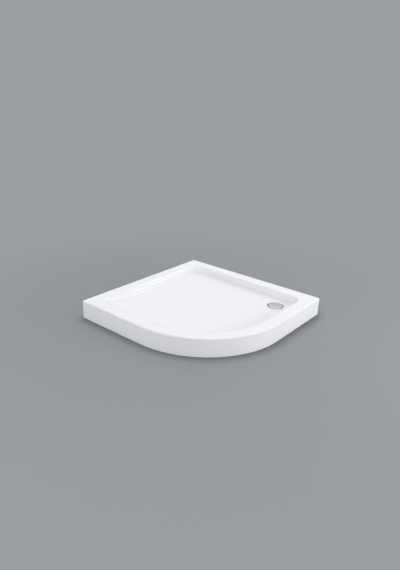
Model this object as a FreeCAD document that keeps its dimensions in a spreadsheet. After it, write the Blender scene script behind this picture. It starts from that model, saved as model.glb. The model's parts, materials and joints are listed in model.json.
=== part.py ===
import FreeCAD
import Part
import Sketcher

import math
import os

from FreeCAD import Placement, Rotation, Vector

# Quadrant shower tray, 900 x 900 mm, in millimetres.
# The origin is on the floor under the middle of the plan. The two wall sides are the back (+Y) and the
# left (-X), the quarter-round front faces +X and -Y, and the drain is near the right end of the back.

# Driving sizes: alias, value, meaning
SIZES = [
    ("tray_side", 900, "length of each wall side"),
    ("front_radius", 470, "plan radius of the round front"),
    ("corner_radius", 8, "plan radius of the three square corners"),
    ("skirt_gap", 4, "skirt edge above the floor"),
    ("shell_wall", 4, "acrylic sheet"),
    ("backing_wall", 3, "glass-fibre layer"),
    ("backing_lift", 8, "backing edge above the skirt edge"),
    ("wall_lip", 45, "depth of the trimmed lip on the two wall sides"),
    ("wall_return", 40, "full skirt kept on each wall side at the two ends"),
    ("trim_reach", 20, "how far the trim cut reaches inside the backing"),
    ("edge_fillet", 5, "outer edge of the rim"),
    ("least_round", 0.5, "smallest rounding inside a thick skin, and half the smallest corner there"),
    ("rim_width", 75, "outer face to the basin wall, at the rim"),
    ("rim_fillet", 17, "roll of the rim into the basin"),
    ("basin_depth", 33, "rim to floor at the middle of the plan"),
    ("wall_taper", 16, "lean of the basin wall, degrees"),
    ("basin_corner", 50, "plan radius of the basin corners at the rim"),
    ("floor_fillet", 14, "sweep of the wall into the floor"),
    ("floor_fall", 0.5, "slope of the floor towards the drain end, degrees"),
    ("floor_over", 5, "basin cut below the floor, to be filled up to its slope"),
    ("drain_back_margin", 41.4, "drain recess to the back edge of the flat floor"),
    ("drain_end_margin", 25, "drain recess to the right edge of the flat floor"),
    ("recess_depth", 12, "seat below the floor"),
    ("recess_fillet", 2, "mouth of the recess"),
    ("recess_over", 5, "recess cut above the floor, to clear its slope"),
    ("bed_least", 3.4, "thinnest part of the levelling bed"),
    ("board_thick", 18, "base board"),
    ("board_margin", 2, "board edge inside the flat of the floor"),
    ("board_clear", 5, "board hole round the drain recess"),
    ("foot_inset", 44, "rear and left feet in from the board edges"),
    ("flank_inset", 34, "feet beside the drain in from the board edge"),
    ("flank_right", 104, "right foot in front of the drain axis"),
    ("flank_back", 118, "back foot left of the drain axis"),
    ("bow_inset", 36, "front feet in from the round edge of the board"),
    ("bow_angle", 25, "front feet off the diagonal, degrees"),
    ("socket_diameter", 56, "foot socket flange"),
    ("socket_flange", 4, "foot socket flange thickness"),
    ("barrel_diameter", 22, "foot socket barrel"),
    ("barrel_rise", 2, "barrel above the board"),
    ("barrel_cap", 1.5, "closed end over the socket bore"),
    ("barrel_clear", 0.3, "barrel to board, radial"),
    ("stud_diameter", 10, "foot stud thread"),
    ("stud_chamfer", 1, "top of the foot stud"),
    ("stud_room", 2.5, "free bore above the stud at rest"),
    ("thread_clear", 0.1, "stud to socket and lock nut, radial"),
    ("nut_width", 17, "lock nut across flats"),
    ("nut_height", 5, "lock nut"),
    ("foot_play", 11, "stud collar to lock nut at rest"),
    ("collar_width", 15, "stud collar across flats"),
    ("collar_height", 4, "stud collar"),
    ("journal_diameter", 8, "stud end in the pad"),
    ("journal_length", 6, "stud end in the pad"),
    ("journal_clear", 0.05, "stud end to pad, radial"),
    ("journal_room", 0.3, "under the stud end"),
    ("pad_diameter", 46, "foot pad"),
    ("pad_height", 10, "foot pad"),
    ("pad_edge", 4, "rim of the foot pad"),
    ("pad_bevel", 1.3, "sole edge of the foot pad"),
    ("pad_hub", 24, "top of the foot pad"),
    ("screw_circle", 42, "socket screws, circle"),
    ("screw_shank", 4, "socket screw shank"),
    ("screw_head", 8, "socket screw head"),
    ("screw_head_height", 2.4, "socket screw head"),
    ("screw_bite", 14, "socket screw in the board"),
    ("screw_clear", 0.2, "screw to socket, radial"),
    ("pilot_clear", 0.05, "screw to board, radial"),
    ("upper_seal", 1.5, "seal under the waste flange"),
    ("lower_seal", 2, "seal over the waste body"),
    ("upper_seal_width", 9, "seal under the waste flange"),
    ("lower_seal_width", 11, "seal over the waste body"),
    ("seal_clear", 1, "seals in from the edges of the waste flanges"),
    ("flange_diameter", 86, "waste flange"),
    ("flange_thick", 3, "waste flange"),
    ("flange_chamfer", 0.8, "edge of the waste flange"),
    ("flange_clear", 2, "waste flange to recess wall, radial"),
    ("ledge_width", 4.5, "seat of the strainer plate in the flange"),
    ("ledge_depth", 2, "seat of the strainer plate"),
    ("hole_clear", 2, "flange tail to the hole in the seat, radial"),
    ("tail_wall", 3, "wall of the flange tail"),
    ("tail_length", 16, "flange tail"),
    ("tail_clear", 0.3, "tail to waste body, radial"),
    ("body_wall", 4, "waste body collar"),
    ("body_height", 14, "waste body collar"),
    ("body_flange_thick", 3, "waste body flange and shoulder"),
    ("spigot_diameter", 50, "outlet"),
    ("spigot_wall", 2.5, "outlet"),
    ("outlet_gap", 3, "outlet above the floor"),
    ("basket_clear", 0.5, "strainer basket to flange, radial"),
    ("basket_wall", 1.8, "strainer basket"),
    ("basket_depth", 15, "strainer basket"),
    ("basket_lip", 2, "strainer basket bottom"),
    ("strainer_hole", 5, "holes of the strainer plate"),
    ("inner_ring", 12.5, "radius of the inner ring of holes"),
    ("inner_holes", 6, "count in the inner ring"),
    ("outer_ring", 21.5, "radius of the outer ring of holes"),
    ("outer_holes", 12, "count in the outer ring"),
    ("hub_diameter", 15, "hub under the strainer plate"),
    ("hub_depth", 8, "hub under the strainer plate"),
    ("membrane_neck", 30, "odour membrane neck diameter"),
    ("membrane_wall", 1.6, "odour membrane"),
    ("membrane_clear", 0.3, "membrane neck to basket, radial"),
    ("membrane_collar", 38, "odour membrane collars, diameter"),
    ("bill_length", 13, "odour membrane bill"),
    ("bill_slit", 0.8, "slit of the bill, half height"),
    ("cover_step", 5, "edge of the waste cover in from the flange edge"),
    ("cover_thick", 2.5, "waste cover edge"),
    ("cover_dome", 1.2, "rise of the waste cover"),
    ("cover_drop", 0.5, "top of the waste cover below the tray floor"),
    ("stem_diameter", 8, "stem of the waste cover"),
    ("stem_clear", 0.1, "stem to hub, radial"),
    ("rib_width", 3, "ribs under the waste cover"),
    ("rib_margin", 5, "ribs in from the edge of the strainer plate"),
    ("rib_count", 3, "ribs under the waste cover"),
]

doc = FreeCAD.newDocument("quadrant_shower_tray")
sheet = doc.addObject("Spreadsheet::Sheet", "sizes")
for row, (alias, number, meaning) in enumerate(SIZES, start=1):
    sheet.set(f"A{row}", meaning)
    sheet.set(f"B{row}", str(number))
    sheet.setAlias(f"B{row}", alias)
doc.recompute()

sub_parts = []


def keep(label, obj):
    obj.Label = label
    sub_parts.append(obj)
    return obj


def number(expression):
    return float(sheet.evalExpression(expression))


def bind(obj, **expressions):
    for name, expression in expressions.items():
        obj.setExpression(name.replace("__", "."), expression)


# Derived places, as expressions of the sheet's cells

HALF = "sizes.tray_side / 2"
SKIN = "(sizes.shell_wall + sizes.backing_wall)"
# How far the floor falls from the middle of the plan to the drain end
FALL = f"(tan(sizes.floor_fall) * sqrt(2) * ({HALF} - sizes.rim_width))"
DEEPEST = f"(sizes.basin_depth + {FALL})"
# The floor outline lies this far in from the outer faces, at its deepest
FLOOR_INSET = f"(sizes.rim_width + {DEEPEST} * tan(sizes.wall_taper))"
# An offset of the rim and the leaning wall by one unit moves the line where they meet by this much
MOUTH_SHIFT = "((1 - sin(sizes.wall_taper)) / cos(sizes.wall_taper))"
# Length that a fillet of radius one takes up on the floor and on the leaning wall beside it
FILLET_RUN = "tan(45 - sizes.wall_taper / 2)"
# Where the basin is shallowest, the roll of the rim takes up no more of the wall than the sweep leaves
SHALLOW_WALL = f"((sizes.basin_depth - {FALL}) / cos(sizes.wall_taper))"
ROLL = f"min(sizes.rim_fillet; ({SHALLOW_WALL} - sizes.least_round) / {FILLET_RUN} - sizes.floor_fillet)"
BOARD_INSET = (f"({FLOOR_INSET} - {SKIN} * {MOUTH_SHIFT} + (sizes.floor_fillet + {SKIN}) * {FILLET_RUN}"
               " + sizes.board_margin)")
BOARD_HALF = f"({HALF} - {BOARD_INSET})"
# Radii of the waste, from the edge of its flange inwards, and of the recess that the flange lies in
FLANGE = "(sizes.flange_diameter / 2)"
RECESS = f"({FLANGE} + sizes.flange_clear)"
HOLE = f"({FLANGE} - sizes.seal_clear - sizes.upper_seal_width)"
TAIL = f"({HOLE} - sizes.hole_clear)"
THROAT = f"({TAIL} - sizes.tail_wall)"
LEDGE = f"({THROAT} + sizes.ledge_width)"
PLATE = f"({LEDGE} - sizes.basket_clear)"
BODY_FLANGE = f"({HOLE} + sizes.lower_seal_width + sizes.seal_clear)"
# The flat of the floor starts this far in from the outer faces, and the recess lies on it
FLAT_INSET = f"({FLOOR_INSET} + sizes.floor_fillet * {FILLET_RUN})"
DRAIN_X = f"({HALF} - {FLAT_INSET} - sizes.drain_end_margin - {RECESS})"
DRAIN_Y = f"({HALF} - {FLAT_INSET} - sizes.drain_back_margin - {RECESS})"
BOW_X = f"({HALF} - sizes.front_radius)"
BOW_Y = f"(sizes.front_radius - {HALF})"

# Heights, stacked up from the floor through a foot to the rim
COLLAR_TOP = "(sizes.pad_height + sizes.collar_height)"
NUT_BOTTOM = f"({COLLAR_TOP} + sizes.foot_play)"
SOCKET_BOTTOM = f"({NUT_BOTTOM} + sizes.nut_height)"
BOARD_BOTTOM = f"({SOCKET_BOTTOM} + sizes.socket_flange)"
BOARD_TOP = f"({BOARD_BOTTOM} + sizes.board_thick)"
BARREL_TOP = f"({BOARD_TOP} + sizes.barrel_rise)"
STUD_TOP = f"({BARREL_TOP} - sizes.barrel_cap - sizes.stud_room)"
# The backing is lowest at the drain end
FLOOR_Z = f"({BOARD_TOP} + sizes.bed_least + {FALL} + {SKIN} / cos(sizes.floor_fall))"
RIM_Z = f"({FLOOR_Z} + sizes.basin_depth)"
DRAIN_FLOOR_Z = f"({FLOOR_Z} - tan(sizes.floor_fall) * ({DRAIN_X} + {DRAIN_Y}) / sqrt(2))"
SEAT_Z = f"({DRAIN_FLOOR_Z} - sizes.recess_depth)"

# The floor falls along +X +Y, so it turns about this line
FALL_AXIS = Vector(-1, 1, 0)

# How near a point lies to a surface to count as on it, and points looked at on an edge
TOUCH = 0.001
MOUTH_POINTS = 5
# A face that leans less than this counts as level, degrees
LEVEL_ANGLE = 5


# Sketch helpers

def origin_plane(body, role):
    return next(item for item in body.Origin.OriginFeatures if item.Role == role)


def new_sketch(body, name, height="0", role="XY_Plane", tilted=False):
    sketch = body.newObject("Sketcher::SketchObject", name)
    sketch.AttachmentSupport = [(origin_plane(body, role), "")]
    sketch.MapMode = "FlatFace"
    if tilted:
        sketch.AttachmentOffset = Placement(Vector(), Rotation(FALL_AXIS, number("sizes.floor_fall")))
        bind(sketch, AttachmentOffset__Rotation__Angle="sizes.floor_fall")
    if role == "XY_Plane":
        bind(sketch, AttachmentOffset__Base__z=height)
    return sketch


def bind_constraint(sketch, name, constraint, expression):
    index = sketch.addConstraint(constraint)
    sketch.renameConstraint(index, name)
    sketch.setExpression(f"Constraints.{name}", expression)


def pin_point(sketch, name, geometry, end, x, y):
    """Hold one point of a sketch at x, y, given as expressions."""
    for axis, kind, place in ((-2, "DistanceX", x), (-1, "DistanceY", y)):
        if place == "0":
            sketch.addConstraint(Sketcher.Constraint("PointOnObject", geometry, end, axis))
        else:
            held = Sketcher.Constraint(kind, -1, 1, geometry, end, number(place))
            bind_constraint(sketch, f"{name}_{kind}", held, place)


def add_circle(sketch, name, x, y, radius):
    centre = Vector(number(x), number(y), 0)
    circle = sketch.addGeometry(Part.Circle(centre, Vector(0, 0, 1), number(radius)))
    pin_point(sketch, name, circle, 3, x, y)
    bind_constraint(sketch, f"{name}_radius", Sketcher.Constraint("Radius", circle, number(radius)), radius)


def add_polygon(sketch, points, domed=None):
    """Closed outline through points (pairs of expressions); side number domed is an arc about the axis."""
    places = [Vector(number(x), number(y), 0) for x, y in points]
    ends = places[1:] + places[:1]
    sides = []
    for index, (start, end) in enumerate(zip(places, ends)):
        if index == domed:
            rise = start.y - end.y
            radius = (end.x ** 2 + rise ** 2) / (2 * rise)
            circle = Part.Circle(Vector(0, start.y - radius, 0), Vector(0, 0, 1), radius)
            lean = math.atan2(end.x, radius - rise)
            side = sketch.addGeometry(Part.ArcOfCircle(circle, math.pi / 2 - lean, math.pi / 2))
            sketch.addConstraint(Sketcher.Constraint("PointOnObject", side, 3, -2))
            sides.append((side, 2, 1))
        else:
            sides.append((sketch.addGeometry(Part.LineSegment(start, end)), 1, 2))
    for index, (side, first, _) in enumerate(sides):
        previous, _, last = sides[index - 1]
        sketch.addConstraint(Sketcher.Constraint("Coincident", previous, last, side, first))
        pin_point(sketch, f"point_{index}", side, first, *points[index])


def add_quadrant(sketch, half, bow, corner):
    """Tray outline: a square of half sides, one corner of radius bow and three of radius corner."""
    size, round_front, round_corner = number(half), number(bow), number(corner)
    inner = size - round_corner
    heart = size - round_front

    def line(x0, y0, x1, y1):
        return sketch.addGeometry(Part.LineSegment(Vector(x0, y0, 0), Vector(x1, y1, 0)))

    def arc(x, y, radius, start):
        circle = Part.Circle(Vector(x, y, 0), Vector(0, 0, 1), radius)
        begin = math.radians(start)
        return sketch.addGeometry(Part.ArcOfCircle(circle, begin, begin + math.pi / 2))

    back = line(inner, size, -inner, size)
    rear = arc(-inner, inner, round_corner, 90)
    left = line(-size, inner, -size, -inner)
    left_end = arc(-inner, -inner, round_corner, 180)
    front = line(-inner, -size, heart, -size)
    front_bow = arc(heart, -heart, round_front, 270)
    right = line(size, -heart, size, inner)
    right_end = arc(inner, inner, round_corner, 0)
    loop = [back, rear, left, left_end, front, front_bow, right, right_end]
    for side, following in zip(loop, loop[1:] + loop[:1]):
        sketch.addConstraint(Sketcher.Constraint("Tangent", side, 2, following, 1))
    for side in (back, front):
        sketch.addConstraint(Sketcher.Constraint("Horizontal", side))
    for side in (left, right):
        sketch.addConstraint(Sketcher.Constraint("Vertical", side))
    bind_constraint(sketch, "to_back", Sketcher.Constraint("DistanceY", -1, 1, back, 1, size), half)
    bind_constraint(sketch, "to_right", Sketcher.Constraint("DistanceX", -1, 1, right, 1, size), half)
    bind_constraint(sketch, "to_front", Sketcher.Constraint("DistanceY", front, 1, -1, 1, size), half)
    bind_constraint(sketch, "to_left", Sketcher.Constraint("DistanceX", left, 1, -1, 1, size), half)
    bind_constraint(sketch, "bow", Sketcher.Constraint("Radius", front_bow, round_front), bow)
    bind_constraint(sketch, "corner", Sketcher.Constraint("Radius", rear, round_corner), corner)
    for other in (left_end, right_end):
        sketch.addConstraint(Sketcher.Constraint("Equal", rear, other))


# Feature helpers

def new_body(name, x="0", y="0", height="0"):
    body = doc.addObject("PartDesign::Body", name)
    bind(body, Placement__Base__x=x, Placement__Base__y=y, Placement__Base__z=height)
    return body


def extrude(body, kind, name, sketch, length, upwards=None, taper=None):
    """Pad or Pocket; a Pad rises and a Pocket sinks unless upwards says otherwise."""
    feature = body.newObject(f"PartDesign::{kind}", name)
    feature.Profile = sketch
    bind(feature, Length=length)
    if upwards is not None:
        feature.Reversed = upwards == (kind == "Pocket")
    if taper:
        bind(feature, TaperAngle=taper)
    before = body.Tip.BaseFeature.Shape.Volume if kind == "Pocket" and body.Tip.BaseFeature else None
    doc.recompute()
    if before is not None and feature.Shape.Volume >= before:
        raise RuntimeError(f"{body.Name}.{name} cuts nothing")
    return feature


def revolve(body, name, points, domed=None):
    sketch = new_sketch(body, f"{name}_profile", role="XZ_Plane")
    add_polygon(sketch, points, domed)
    feature = body.newObject("PartDesign::Revolution", name)
    feature.Profile = sketch
    feature.ReferenceAxis = (sketch, ["V_Axis"])
    doc.recompute()
    return feature


def fillet(body, name, edges, radius):
    base = body.Tip
    names = [f"Edge{index}" for index, edge in enumerate(base.Shape.Edges, start=1)
             if any(edge.isSame(chosen) for chosen in edges)]
    feature = body.newObject("PartDesign::Fillet", name)
    feature.Base = (base, names)
    bind(feature, Radius=radius)
    doc.recompute()
    return feature


def polar(body, name, feature, sketch, count):
    pattern = body.newObject("PartDesign::PolarPattern", name)
    pattern.Originals = [feature]
    pattern.Axis = (sketch, ["N_Axis"])
    pattern.Angle = 360
    bind(pattern, Occurrences=count)
    body.Tip = pattern
    doc.recompute()


def hexagon(body, name, height, width, length):
    prism = body.newObject("PartDesign::AdditivePrism", name)
    prism.AttachmentSupport = [(origin_plane(body, "XY_Plane"), "")]
    prism.MapMode = "FlatFace"
    prism.Polygon = 6
    bind(prism, AttachmentOffset__Base__z=height, Circumradius=f"{width} / sqrt(3)", Height=length)
    doc.recompute()


def flat_faces(shape):
    """Upward level faces of a shape, lowest first."""
    level = math.radians(LEVEL_ANGLE)
    flats = [face for face in shape.Faces if isinstance(face.Surface, Part.Plane)]
    faces = [face for face in flats if face.normalAt(0, 0).getAngle(Vector(0, 0, 1)) < level]
    return sorted(faces, key=lambda face: face.CenterOfMass.z)


def inner_edges(face):
    return [edge for wire in face.Wires if not wire.isSame(face.OuterWire) for edge in wire.Edges]


# Tray forms: the outside of the tray, and the same form drawn in by a skin for each layer's underside

def tray_form(name, skin, bottom):
    """Block with the basin sunk in it, drawn in by skin all over, standing on height bottom."""
    body = new_body(name)
    outline = new_sketch(body, f"{name}_outline", bottom)
    add_quadrant(outline, f"{HALF} - {skin}", f"sizes.front_radius - {skin}",
                 f"max(sizes.corner_radius - {skin}; 2 * sizes.least_round)")
    extrude(body, "Pad", f"{name}_block", outline, f"{RIM_Z} - {skin} - {bottom}")

    mouth = new_sketch(body, f"{name}_mouth", f"{RIM_Z} - {skin}")
    inset = f"(sizes.rim_width - {skin} * {MOUTH_SHIFT})"
    add_quadrant(mouth, f"{HALF} - {inset}", f"sizes.front_radius - {inset}",
                 f"sizes.basin_corner + {skin} * {MOUTH_SHIFT}")
    extrude(body, "Pocket", f"{name}_basin", mouth, f"{DEEPEST} + sizes.floor_over",
            taper="-sizes.wall_taper")
    rim = flat_faces(body.Tip.Shape)[-1]
    fillet(body, f"{name}_roll", inner_edges(rim), f"max({ROLL} - {skin}; sizes.least_round)")

    # The bottom of the basin is filled up to the sloping floor, from under the rim
    floor = new_sketch(body, f"{name}_floor", f"{FLOOR_Z} - {skin} / cos(sizes.floor_fall)", tilted=True)
    inset = "sizes.rim_width / 2"
    add_quadrant(floor, f"{HALF} - {inset}", f"sizes.front_radius - {inset}", "sizes.basin_corner")
    extrude(body, "Pad", f"{name}_fill", floor, f"2 * ({FALL} + sizes.floor_over)", upwards=False)
    sunk = flat_faces(body.Tip.Shape)[0]
    fillet(body, f"{name}_sweep", sunk.OuterWire.Edges, f"sizes.floor_fillet + {skin}")
    rim = flat_faces(body.Tip.Shape)[-1]
    fillet(body, f"{name}_edge", rim.OuterWire.Edges, f"max(sizes.edge_fillet - {skin}; sizes.least_round)")

    recess = new_sketch(body, f"{name}_recess_circle", f"{SEAT_Z} - {skin}")
    add_circle(recess, "recess", DRAIN_X, DRAIN_Y, f"{RECESS} + {skin}")
    sunk = f"sizes.recess_depth + {skin} + sizes.recess_over"
    extrude(body, "Pocket", f"{name}_recess", recess, sunk, True)
    return body


def mouth_edges(shape):
    """Edges where the drain recess opens into the floor."""
    axis = Vector(number(DRAIN_X), number(DRAIN_Y), 0)
    radius = number(RECESS)
    middle = number(f"({SEAT_Z} + {DRAIN_FLOOR_Z}) / 2")

    def on_mouth(point):
        return point.z > middle and abs(math.hypot(point.x - axis.x, point.y - axis.y) - radius) < TOUCH

    return [edge for edge in shape.Edges if all(on_mouth(point) for point in edge.discretize(MOUTH_POINTS))]


def sink_hole(body, name, height, radius):
    """Round hole on the drain axis, from height down through the form."""
    sketch = new_sketch(body, f"{name}_circle", height)
    add_circle(sketch, "hole", DRAIN_X, DRAIN_Y, radius)
    extrude(body, "Pocket", name, sketch, height)


def trim_wall_sides(body, name, lip):
    """Cut the skirt away below the lip on the two wall sides, up to the returns at the ends."""
    sketch = new_sketch(body, f"{name}_plan", f"{RIM_Z} - {lip}")
    outside = f"{HALF} + sizes.trim_reach"
    inside = f"{HALF} - {SKIN} - sizes.trim_reach"
    end = f"{HALF} - sizes.wall_return"
    add_polygon(sketch, [(f"-({outside})", f"-({end})"), (f"-({inside})", f"-({end})"),
                         (f"-({inside})", inside), (end, inside), (end, outside),
                         (f"-({outside})", outside)])
    extrude(body, "Pocket", name, sketch, RIM_Z)


def cut(label, base, tool):
    piece = doc.addObject("Part::Cut", label)
    piece.Base = base
    piece.Tool = tool
    return keep(label, piece)


def make_layers():
    outside = tray_form("tray_outside", "0", "sizes.skirt_gap")
    fillet(outside, "recess_mouth", mouth_edges(outside.Tip.Shape), "sizes.recess_fillet")
    sink_hole(outside, "waste_opening", SEAT_Z, HOLE)
    trim_wall_sides(outside, "shell_trim", "sizes.wall_lip")
    cut("tray_shell", outside, tray_form("shell_underside", "sizes.shell_wall", "0"))

    top = tray_form("backing_top", "sizes.shell_wall", "(sizes.skirt_gap + sizes.backing_lift)")
    # The seat stays bare below, for the lower seal of the waste
    sink_hole(top, "seat_opening", f"{SEAT_Z} - sizes.shell_wall", f"{RECESS} + {SKIN}")
    trim_wall_sides(top, "backing_trim", "sizes.wall_lip - sizes.backing_lift")
    cut("glassfibre_backing", top, tray_form("backing_underside", SKIN, "0"))


# Foot places on the board

BOW_REACH = f"(sizes.front_radius - {BOARD_INSET} - sizes.bow_inset)"
FEET = {
    "rear": (f"-({BOARD_HALF} - sizes.foot_inset)", f"{BOARD_HALF} - sizes.foot_inset"),
    "left": (f"-({BOARD_HALF} - sizes.foot_inset)", f"-({BOARD_HALF} - sizes.foot_inset)"),
    "back": (f"{DRAIN_X} - sizes.flank_back", f"{BOARD_HALF} - sizes.flank_inset"),
    "right": (f"{BOARD_HALF} - sizes.flank_inset", f"{DRAIN_Y} - sizes.flank_right"),
    "front_right": (f"{BOW_X} + {BOW_REACH} * cos(sizes.bow_angle - 45)",
                    f"{BOW_Y} + {BOW_REACH} * sin(sizes.bow_angle - 45)"),
    "front_left": (f"{BOW_X} + {BOW_REACH} * cos(-sizes.bow_angle - 45)",
                   f"{BOW_Y} + {BOW_REACH} * sin(-sizes.bow_angle - 45)"),
    "centre": (BOW_X, BOW_Y),
}
SCREW_ANGLES = (90, 210, 330)


def screw_places(x, y):
    for angle in SCREW_ANGLES:
        yield (f"{x} + sizes.screw_circle / 2 * cos({angle})",
               f"{y} + sizes.screw_circle / 2 * sin({angle})")


def board_outline(body, name, height):
    sketch = new_sketch(body, name, height)
    add_quadrant(sketch, BOARD_HALF, f"sizes.front_radius - {BOARD_INSET}", "sizes.basin_corner")
    return sketch


def board_holes(body, name, pilots):
    """Openings for the waste and the socket barrels, and for the screws where pilots is set."""
    sketch = new_sketch(body, f"{name}_circles", BOARD_BOTTOM)
    add_circle(sketch, "waste", DRAIN_X, DRAIN_Y, f"{RECESS} + {SKIN} + sizes.board_clear")
    for foot, (x, y) in FEET.items():
        add_circle(sketch, foot, x, y, "sizes.barrel_diameter / 2 + sizes.barrel_clear")
        if pilots:
            for index, (screw_x, screw_y) in enumerate(screw_places(x, y)):
                add_circle(sketch, f"{foot}_pilot_{index}", screw_x, screw_y,
                           "sizes.screw_shank / 2 + sizes.pilot_clear")
    extrude(body, "Pocket", name, sketch, f"{RIM_Z}", True)


def make_board():
    board = new_body("board")
    outline = board_outline(board, "board_outline", BOARD_BOTTOM)
    extrude(board, "Pad", "board_plate", outline, "sizes.board_thick")
    board_holes(board, "board_holes", pilots=True)
    keep("base_board", board)

    bed = new_body("bed")
    outline = board_outline(bed, "bed_outline", BOARD_TOP)
    extrude(bed, "Pad", "bed_block", outline, f"{RIM_Z} - {BOARD_TOP}")
    slope = new_sketch(bed, "bed_slope", f"{FLOOR_Z} - {SKIN} / cos(sizes.floor_fall)", tilted=True)
    reach = HALF
    add_polygon(slope, [(f"-({reach})", f"-({reach})"), (reach, f"-({reach})"), (reach, reach),
                        (f"-({reach})", reach)])
    extrude(bed, "Pocket", "bed_top", slope, RIM_Z, True)
    board_holes(bed, "bed_holes", pilots=False)
    keep("foam_bed", bed)


# Screw feet

def make_socket(foot, x, y):
    body = new_body(f"socket_{foot}", x, y)
    flange = new_sketch(body, f"socket_{foot}_flange_circle", SOCKET_BOTTOM)
    add_circle(flange, "flange", "0", "0", "sizes.socket_diameter / 2")
    extrude(body, "Pad", f"socket_{foot}_flange", flange, "sizes.socket_flange")
    barrel = new_sketch(body, f"socket_{foot}_barrel_circle", BOARD_BOTTOM)
    add_circle(barrel, "barrel", "0", "0", "sizes.barrel_diameter / 2")
    extrude(body, "Pad", f"socket_{foot}_barrel", barrel, f"{BARREL_TOP} - {BOARD_BOTTOM}")
    bore = new_sketch(body, f"socket_{foot}_bore_circle", SOCKET_BOTTOM)
    add_circle(bore, "bore", "0", "0", "sizes.stud_diameter / 2 + sizes.thread_clear")
    bore_length = f"{BARREL_TOP} - sizes.barrel_cap - {SOCKET_BOTTOM}"
    extrude(body, "Pocket", f"socket_{foot}_bore", bore, bore_length, True)
    holes = new_sketch(body, f"socket_{foot}_hole_circles", SOCKET_BOTTOM)
    for index, (screw_x, screw_y) in enumerate(screw_places("0", "0")):
        add_circle(holes, f"hole_{index}", screw_x, screw_y, "sizes.screw_shank / 2 + sizes.screw_clear")
    extrude(body, "Pocket", f"socket_{foot}_holes", holes, "sizes.socket_flange", True)
    keep(f"foot_socket_{foot}", body)


def make_lock_nut(foot, x, y):
    body = new_body(f"nut_{foot}", x, y)
    hexagon(body, f"nut_{foot}_hex", NUT_BOTTOM, "sizes.nut_width", "sizes.nut_height")
    bore = new_sketch(body, f"nut_{foot}_bore_circle", NUT_BOTTOM)
    add_circle(bore, "bore", "0", "0", "sizes.stud_diameter / 2 + sizes.thread_clear")
    extrude(body, "Pocket", f"nut_{foot}_bore", bore, "sizes.nut_height", True)
    keep(f"foot_lock_nut_{foot}", body)


def make_stud(foot, x, y):
    body = new_body(f"stud_{foot}", x, y)
    journal = "sizes.journal_diameter / 2"
    thread = "sizes.stud_diameter / 2"
    low = "sizes.pad_height - sizes.journal_length"
    revolve(body, f"stud_{foot}_turned", [
        ("0", low), (journal, low), (journal, "sizes.pad_height"), (thread, "sizes.pad_height"),
        (thread, f"{STUD_TOP} - sizes.stud_chamfer"), (f"{thread} - sizes.stud_chamfer", STUD_TOP),
        ("0", STUD_TOP)])
    hexagon(body, f"stud_{foot}_collar", "sizes.pad_height", "sizes.collar_width", "sizes.collar_height")
    keep(f"foot_stud_{foot}", body)


def make_pad(foot, x, y):
    body = new_body(f"pad_{foot}", x, y)
    edge = "sizes.pad_diameter / 2"
    bore = "sizes.journal_diameter / 2 + sizes.journal_clear"
    bore_end = "sizes.pad_height - sizes.journal_length - sizes.journal_room"
    revolve(body, f"pad_{foot}_turned", [
        ("0", "0"), (f"{edge} - sizes.pad_bevel", "0"), (edge, "sizes.pad_bevel"), (edge, "sizes.pad_edge"),
        ("sizes.pad_hub / 2", "sizes.pad_height"), (bore, "sizes.pad_height"), (bore, bore_end),
        ("0", bore_end)])
    keep(f"foot_pad_{foot}", body)


def make_socket_screws():
    """Pan-head screws, three to a socket, as one group of separate solids."""
    shank = number("sizes.screw_shank") / 2
    head = number("sizes.screw_head") / 2
    seat = number(SOCKET_BOTTOM)
    head_low = seat - number("sizes.screw_head_height")
    tip = number(BOARD_BOTTOM) + number("sizes.screw_bite")
    point = tip - shank
    profile = Part.makePolygon([
        Vector(0, 0, head_low), Vector(head, 0, head_low), Vector(head, 0, seat), Vector(shank, 0, seat),
        Vector(shank, 0, point), Vector(0, 0, tip), Vector(0, 0, head_low)])
    screw = Part.Face(profile).revolve(Vector(), Vector(0, 0, 1), 360)
    places = [place for x, y in FEET.values() for place in screw_places(x, y)]
    group = doc.addObject("Part::Feature", "socket_screw_group")
    group.Shape = Part.makeCompound([screw.translated(Vector(number(x), number(y), 0)) for x, y in places])
    group.Placement = Placement()
    keep("socket_screws", group)


def make_feet():
    for foot, (x, y) in FEET.items():
        make_socket(foot, x, y)
        make_lock_nut(foot, x, y)
        make_stud(foot, x, y)
        make_pad(foot, x, y)
    make_socket_screws()


# Waste, on the drain axis, with heights measured from the seat

FLANGE_TOP = "(sizes.upper_seal + sizes.flange_thick)"
LEDGE_Z = f"({FLANGE_TOP} - sizes.ledge_depth)"
BODY_TOP = "(-sizes.shell_wall - sizes.lower_seal)"
SHOULDER_Z = f"({BODY_TOP} - sizes.body_height)"
BASKET_BOTTOM = f"({FLANGE_TOP} - sizes.basket_depth)"
COVER_TOP = "(sizes.recess_depth - sizes.cover_drop)"
COVER_UNDER = f"({COVER_TOP} - sizes.cover_dome - sizes.cover_thick)"
NECK = "(sizes.membrane_neck / 2)"


def waste_piece(label):
    return keep(label, new_body(f"{label}_body", DRAIN_X, DRAIN_Y, SEAT_Z))


def ring(label, inner, outer, low, high):
    revolve(waste_piece(label), f"{label}_ring", [(inner, low), (outer, low), (outer, high), (inner, high)])


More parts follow.
